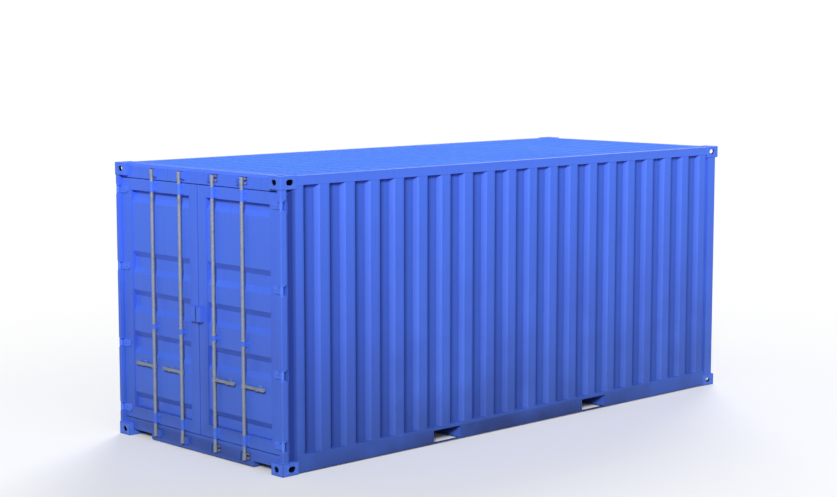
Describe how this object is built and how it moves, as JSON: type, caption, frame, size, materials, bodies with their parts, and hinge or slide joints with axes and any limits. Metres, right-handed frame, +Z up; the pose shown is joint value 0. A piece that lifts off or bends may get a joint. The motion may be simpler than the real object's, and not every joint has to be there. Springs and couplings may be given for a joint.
{
  "type": "twenty foot shipping container with double doors",
  "caption": "Steel shipping container with corrugated walls, corner castings, fork pockets and double doors locked by turning bars with handles.",
  "frame": {"origin": "centre of the footprint, on the faces that the bottom castings rest on", "axes": "+X along the container from the doors to the closed end, +Z up, +Y to the left door as seen facing the doors"},
  "size_m": [6.058, 2.438, 2.591],
  "materials": {
    "container_paint": "semi-gloss blue paint",
    "castings": "blue paint on cast steel, slightly rough",
    "hinge_steel": "blue paint, rubbed at the pins",
    "galvanised_steel": "dull hot-dip galvanising",
    "gasket_rubber": "matt black seal",
    "plywood": "oiled hardwood plywood"
  },
  "bodies": {
    "container": {"corner_castings_bottom": "castings", "corner_castings_top": "castings", "door_post_left": "container_paint", "door_post_right": "container_paint", "front_post_left": "container_paint", "front_post_right": "container_paint", "hinge_lugs": "hinge_steel", "door_header": "container_paint", "door_sill": "container_paint", "front_top_rail": "container_paint", "front_bottom_rail": "container_paint", "top_side_rail_left": "container_paint", "top_side_rail_right": "container_paint", "bottom_side_rail_left": "container_paint", "bottom_side_rail_right": "container_paint", "side_wall_left": "container_paint", "side_wall_right": "container_paint", "front_wall": "container_paint", "roof_panel": "container_paint", "floor": "plywood", "cross_members": "container_paint", "fork_pockets": "container_paint", "cam_keepers": "container_paint"},
    "left_door": {"door_frame_left": "container_paint", "door_panel_left": "container_paint", "door_gasket_left": "gasket_rubber", "hinge_blades_left": "hinge_steel", "bar_brackets_left": "container_paint", "handle_rests_left": "galvanised_steel", "lock_box_left": "container_paint"},
    "left_outer_bar": {"locking_bar_outer_left": "galvanised_steel"},
    "left_outer_handle": {"handle_outer_left": "galvanised_steel"},
    "left_inner_bar": {"locking_bar_inner_left": "galvanised_steel"},
    "left_inner_handle": {"handle_inner_left": "galvanised_steel"},
    "right_door": {"door_frame_right": "container_paint", "door_panel_right": "container_paint", "door_gasket_right": "gasket_rubber", "hinge_blades_right": "hinge_steel", "bar_brackets_right": "container_paint", "handle_rests_right": "galvanised_steel", "lock_box_right": "container_paint"},
    "right_outer_bar": {"locking_bar_outer_right": "galvanised_steel"},
    "right_outer_handle": {"handle_outer_right": "galvanised_steel"},
    "right_inner_bar": {"locking_bar_inner_right": "galvanised_steel"},
    "right_inner_handle": {"handle_inner_right": "galvanised_steel"}
  },
  "joints": [
    {"name": "left_door_hinge", "type": "hinge", "parent": "container", "child": "left_door", "pos_m": [-3.008, 1.198, 1.3], "axis": [0, 0, -1], "range_deg": [0, 260]},
    {"name": "left_outer_bar_turn", "type": "hinge", "parent": "left_door", "child": "left_outer_bar", "pos_m": [-3.007, 0.6632, 1.3], "axis": [0, 0, 1], "range_deg": [0, 165]},
    {"name": "left_outer_handle_lift", "type": "hinge", "parent": "left_outer_bar", "child": "left_outer_handle", "pos_m": [-3.007, 0.7012, 0.71889], "axis": [1, 0, 0], "range_deg": [0, 20]},
    {"name": "left_inner_bar_turn", "type": "hinge", "parent": "left_door", "child": "left_inner_bar", "pos_m": [-3.007, 0.2443, 1.3], "axis": [0, 0, 1], "range_deg": [0, 165]},
    {"name": "left_inner_handle_lift", "type": "hinge", "parent": "left_inner_bar", "child": "left_inner_handle", "pos_m": [-3.007, 0.2823, 0.71889], "axis": [1, 0, 0], "range_deg": [0, 20]},
    {"name": "right_door_hinge", "type": "hinge", "parent": "container", "child": "right_door", "pos_m": [-3.008, -1.198, 1.3], "axis": [0, 0, 1], "range_deg": [0, 260]},
    {"name": "right_outer_bar_turn", "type": "hinge", "parent": "right_door", "child": "right_outer_bar", "pos_m": [-3.007, -0.6632, 1.3], "axis": [0, 0, -1], "range_deg": [0, 165]},
    {"name": "right_outer_handle_lift", "type": "hinge", "parent": "right_outer_bar", "child": "right_outer_handle", "pos_m": [-3.007, -0.7012, 0.71889], "axis": [-1, 0, 0], "range_deg": [0, 20]},
    {"name": "right_inner_bar_turn", "type": "hinge", "parent": "right_door", "child": "right_inner_bar", "pos_m": [-3.007, -0.2443, 1.3], "axis": [0, 0, -1], "range_deg": [0, 165]},
    {"name": "right_inner_handle_lift", "type": "hinge", "parent": "right_inner_bar", "child": "right_inner_handle", "pos_m": [-3.007, -0.2823, 0.71889], "axis": [-1, 0, 0], "range_deg": [0, 20]}
  ]
}
